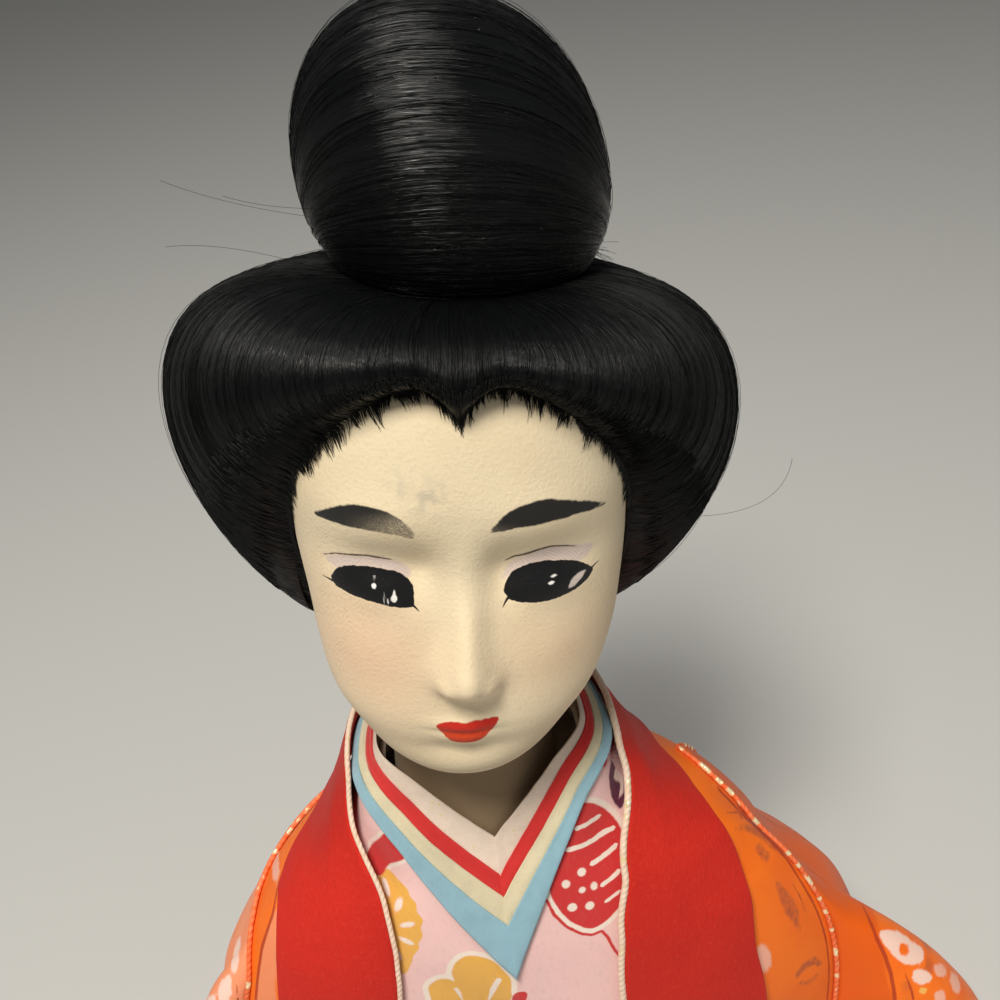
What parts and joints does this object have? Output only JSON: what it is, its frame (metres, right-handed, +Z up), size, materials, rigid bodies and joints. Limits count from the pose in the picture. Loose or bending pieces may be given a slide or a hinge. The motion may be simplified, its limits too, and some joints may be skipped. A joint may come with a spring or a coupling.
{
  "type": "geisha doll bust",
  "caption": "Bust of a cloth-faced geisha doll with a rolled wig, a high topknot and layered kimono collars, cut flat below to stand on a shelf.",
  "frame": {"origin": "middle of the bust's bounding box seen from above, on its flat underside", "axes": "+Z up, the face towards -Y, +X towards the doll's left"},
  "size_m": [0.1638, 0.0598, 0.2042],
  "materials": {
    "face_cloth": "fine woven silk, matt, painted features",
    "floss": "glossy black silk floss",
    "white_cloth": "off-white crepe with faint gold specks",
    "red_cloth": "plain red crepe",
    "cream_cloth": "plain cream crepe",
    "blue_cloth": "plain blue crepe",
    "pink_print": "pink crepe printed with blossoms",
    "red_crepe": "mottled red crepe",
    "gold_piping": "cream cord shot with gold",
    "orange_brocade": "orange satin brocade",
    "orange_piping": "orange-red cord shot with gold",
    "sleeve_brocade": "orange satin, printed"
  },
  "bodies": {
    "root": {"head": "face_cloth", "hair": "floss", "topknot": "floss", "white_collar": "white_cloth", "red_stripe_collar": "red_cloth", "cream_stripe_collar": "cream_cloth", "blue_stripe_collar": "blue_cloth", "pink_kimono": "pink_print", "wide_red_collar": "red_crepe", "collar_piping": "gold_piping", "robe": "orange_brocade", "left_armhole_piping": "orange_piping", "right_armhole_piping": "orange_piping", "left_sleeve": "sleeve_brocade", "right_sleeve": "sleeve_brocade"}
  },
  "joints": []
}
